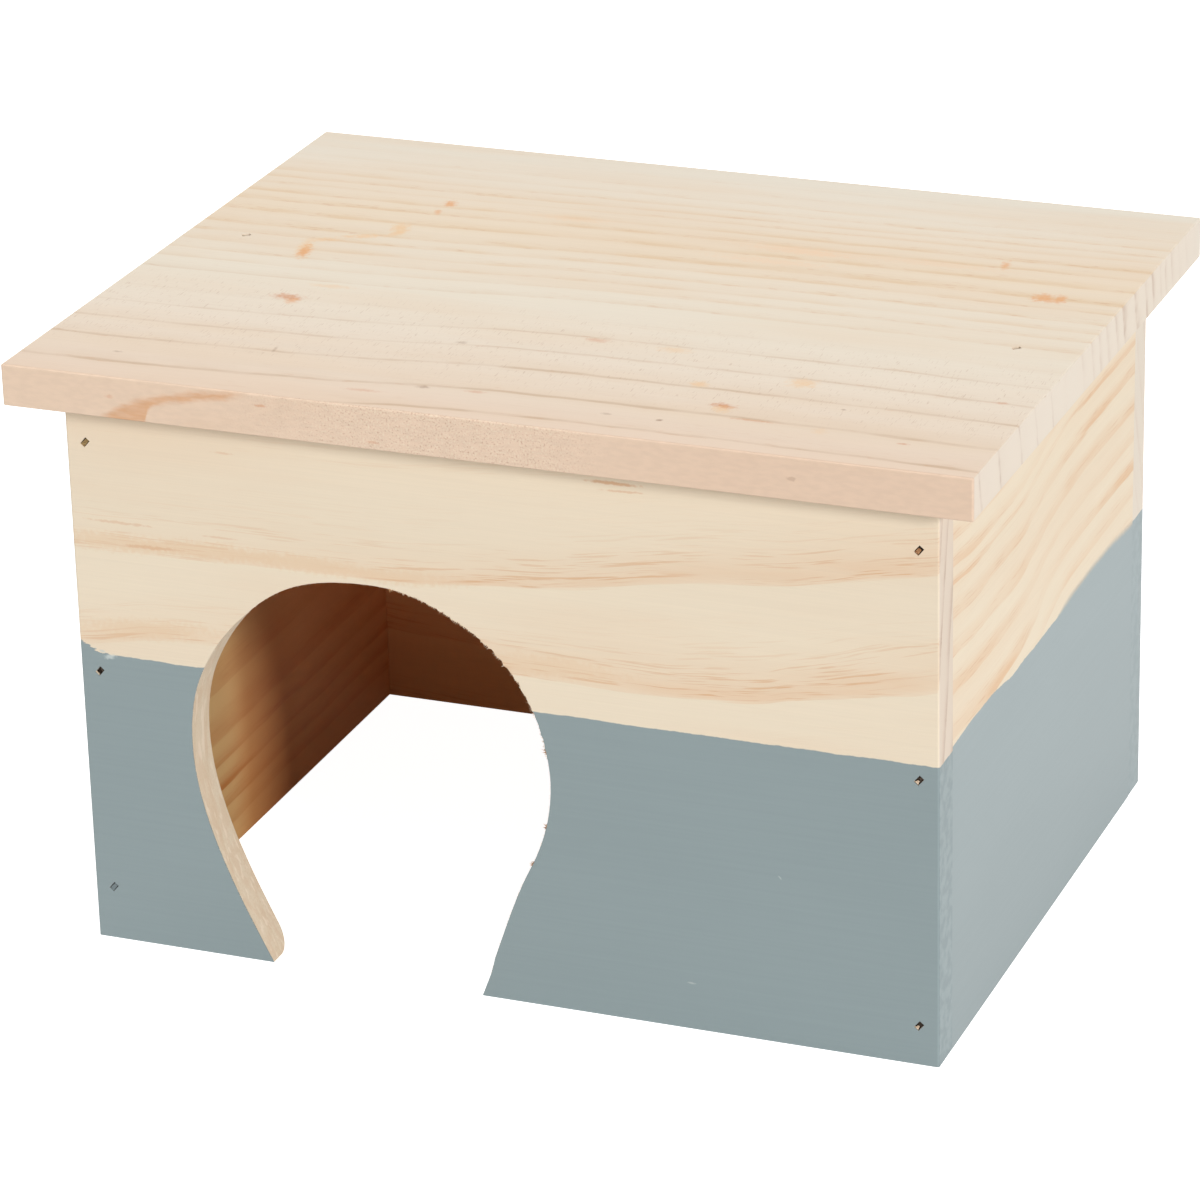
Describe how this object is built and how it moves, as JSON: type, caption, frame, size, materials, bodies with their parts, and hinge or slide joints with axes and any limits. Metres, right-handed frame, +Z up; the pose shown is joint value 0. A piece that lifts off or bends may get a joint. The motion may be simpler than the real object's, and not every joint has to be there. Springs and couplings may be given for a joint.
{
  "type": "small animal house",
  "caption": "Pine hideout for small animals: open-bottomed box with an off-centre keyhole doorway, a flat overhanging roof board and walls painted blue-grey on the lower half.",
  "frame": {"origin": "centre of the footprint, on the floor", "axes": "+Z up, -Y out of the doorway wall, +X to the right seen from the front"},
  "size_m": [0.22, 0.172, 0.14],
  "materials": {
    "front_board": "bare planed pine above, satin blue-grey paint below",
    "back_board": "bare planed pine above, satin blue-grey paint below",
    "left_board": "bare planed pine above, satin blue-grey paint below",
    "right_board": "bare planed pine above, satin blue-grey paint below",
    "roof_board": "bare planed pine",
    "brad_steel": "plain wire"
  },
  "bodies": {
    "root": {"front_wall": "front_board", "back_wall": "back_board", "left_wall": "left_board", "right_wall": "right_board", "roof_board": "roof_board", "front_left_brads": "brad_steel", "front_right_brads": "brad_steel", "back_left_brads": "brad_steel", "back_right_brads": "brad_steel", "roof_left_brad": "brad_steel", "roof_right_brad": "brad_steel"}
  },
  "joints": []
}
